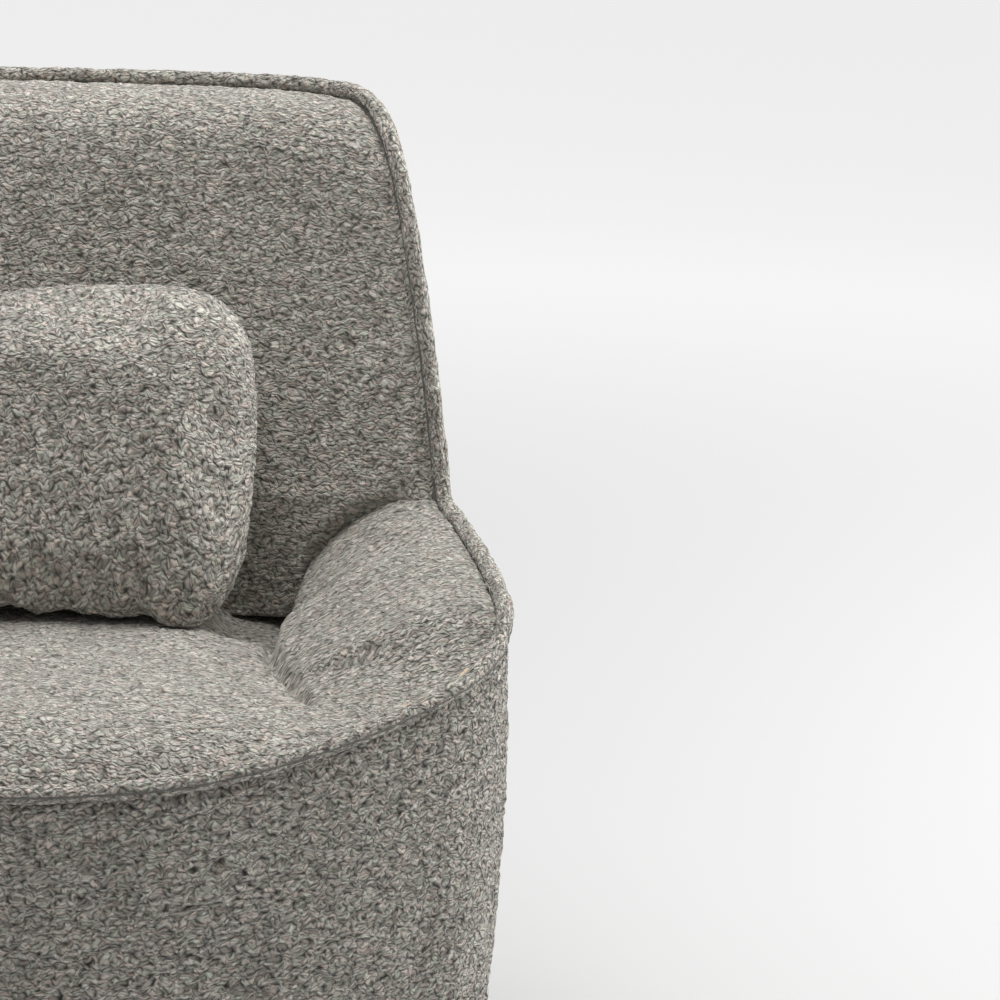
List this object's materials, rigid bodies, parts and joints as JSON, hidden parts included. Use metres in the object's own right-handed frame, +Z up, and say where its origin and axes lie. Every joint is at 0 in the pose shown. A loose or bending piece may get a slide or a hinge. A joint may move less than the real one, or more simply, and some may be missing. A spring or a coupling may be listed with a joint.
{
  "type": "tub chair",
  "caption": "Upholstered tub chair: a rounded wall drops from a high back to low arms and a crowned seat, welt round its rim, loose lumbar cushion, short tapered feet.",
  "frame": {"origin": "on the floor, under the middle of the chair's bounding box", "axes": "+Z up; the sitter faces -Y; +X is to the right of a viewer who looks at the chair's front; the zip slides along X"},
  "size_m": [0.8038, 0.7895, 0.8389],
  "materials": {
    "chenille": "thick mottled warm-grey chenille",
    "chenille_cushion": "the same chenille on the loose cushion",
    "welt_cover": "bias strip of the same chenille round a cord",
    "wadding": "soft polyester wadding",
    "foam": "upholstery foam",
    "cushion_fill": "fibre-wrapped cushion pad",
    "dust_cloth": "black non-woven cloth",
    "webbing": "elastic upholstery webbing",
    "zip_cloth": "woven zip tape with nylon teeth",
    "plywood": "birch plywood, unfinished",
    "frame_wood": "planed beech, unfinished",
    "foot_wood": "dark stained and lacquered beech",
    "glide_plastic": "moulded nylon",
    "fastener_steel": "zinc plated",
    "slider_metal": "cast and plated"
  },
  "bodies": {
    "chair": {"foot_front_left": "foot_wood", "foot_front_right": "foot_wood", "foot_back_left": "foot_wood", "foot_back_right": "foot_wood", "foot_glides": "glide_plastic", "foot_bolts": "fastener_steel", "foot_nuts": "fastener_steel", "base_board": "plywood", "seat_frame": "plywood", "front_post_left": "frame_wood", "front_post_right": "frame_wood", "side_post_left": "frame_wood", "side_post_right": "frame_wood", "rear_post_left": "frame_wood", "rear_post_right": "frame_wood", "frame_screws": "fastener_steel", "front_rail": "frame_wood", "rear_rail": "frame_wood", "corner_blocks": "frame_wood", "seat_webbing_cross": "webbing", "seat_webbing_long": "webbing", "arm_frame_left": "plywood", "arm_frame_right": "plywood", "back_upright_left": "frame_wood", "back_upright_right": "frame_wood", "back_lumbar_rail": "frame_wood", "back_top_rail": "frame_wood", "back_webbing": "webbing", "shell_board": "plywood", "outer_wadding": "wadding", "outer_cover_front": "chenille", "outer_cover_wrap": "chenille", "dust_cover": "dust_cloth", "seat_cover": "chenille", "seat_foam": "foam", "arm_cover_right": "chenille", "arm_cover_left": "chenille", "arm_foam_right": "foam", "arm_foam_left": "foam", "back_cover": "chenille", "back_foam": "foam", "welt": "welt_cover"},
    "cushion": {"lumbar_cover": "chenille_cushion", "lumbar_fill": "cushion_fill", "zip_tape": "zip_cloth"},
    "zip": {"zip_slider": "slider_metal"}
  },
  "joints": [
    {"name": "cushion_lift", "type": "slide", "parent": "chair", "child": "cushion", "axis": [0, 0, 1], "range_m": [0, 0.45]},
    {"name": "zip_slide", "type": "slide", "parent": "cushion", "child": "zip", "axis": [1, 0, 0], "range_m": [0, 0.316]}
  ]
}
